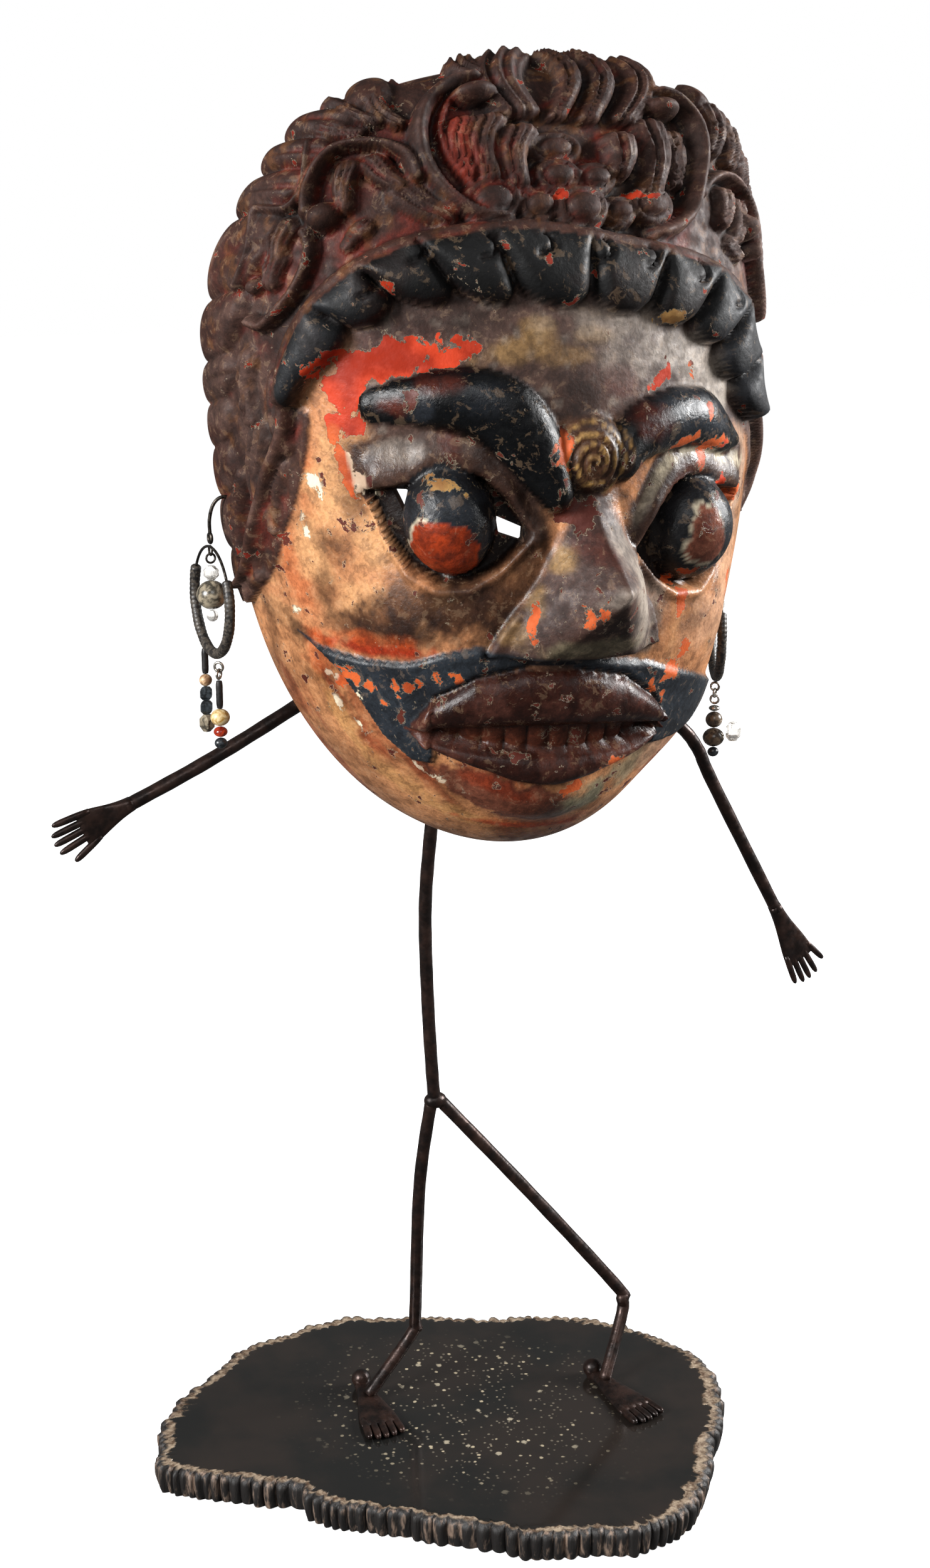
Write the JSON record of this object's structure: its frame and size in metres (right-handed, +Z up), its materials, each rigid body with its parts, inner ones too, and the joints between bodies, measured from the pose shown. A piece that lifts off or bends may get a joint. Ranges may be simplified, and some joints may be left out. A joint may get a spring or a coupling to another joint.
{
  "type": "balinese mask",
  "caption": "Carved and painted wooden demon mask with a scrolled crown, bead earrings, and a steel stick figure on a stone slab that holds it up.",
  "frame": {"origin": "middle of the stone slab's underside", "axes": "+Z up, the mask's face looks towards -Y, +X to the viewer's right"},
  "size_m": [0.3718, 0.2611, 0.6175],
  "materials": {
    "painted_wood": "old glossy paint over carved wood, worn",
    "rod_steel": "dark brown forged steel, satin",
    "slab_stone": "dark polished stone with pale flecks",
    "hook_wire": "aged wire",
    "hoop_tube": "dark wrapped tube",
    "black_tube": "black tube",
    "bright_links": "bright links",
    "clear_glass": "clear faceted",
    "mottled_stone": "mottled polished stone bead",
    "cream_bead": "cream bead",
    "dark_bead": "dark glossy bead",
    "gold_bead": "ochre and cream bead",
    "red_bead": "red glossy bead",
    "smoke_bead": "brown polished stone bead"
  },
  "bodies": {
    "root": {"arm_left": "rod_steel", "arm_right": "rod_steel", "base_slab": "slab_stone", "earring_left_agate_bead": "mottled_stone", "earring_left_back_tube": "black_tube", "earring_left_clear_bead": "clear_glass", "earring_left_cream_bead": "cream_bead", "earring_left_crystal_bead": "clear_glass", "earring_left_faceted_bead": "mottled_stone", "earring_left_front_links": "bright_links", "earring_left_front_tube": "black_tube", "earring_left_gold_bead": "gold_bead", "earring_left_hook": "hook_wire", "earring_left_hoop": "hoop_tube", "earring_left_hoop_wire": "hook_wire", "earring_left_jet_bead": "dark_bead", "earring_left_lower_cube_bead": "dark_bead", "earring_left_red_bead": "red_bead", "earring_left_upper_cube_bead": "dark_bead", "earring_right_cap": "bright_links", "earring_right_clear_bead": "clear_glass", "earring_right_crystal_bead": "clear_glass", "earring_right_dark_bead": "smoke_bead", "earring_right_glass_bead": "clear_glass", "earring_right_hook": "hook_wire", "earring_right_hoop": "hoop_tube", "earring_right_hoop_wire": "hook_wire", "earring_right_jet_bead": "dark_bead", "earring_right_links": "bright_links", "earring_right_smoke_bead": "smoke_bead", "foot_left": "rod_steel", "foot_right": "rod_steel", "leg_left": "rod_steel", "leg_right": "rod_steel", "mask": "painted_wood", "spine_rod": "rod_steel"}
  },
  "joints": []
}
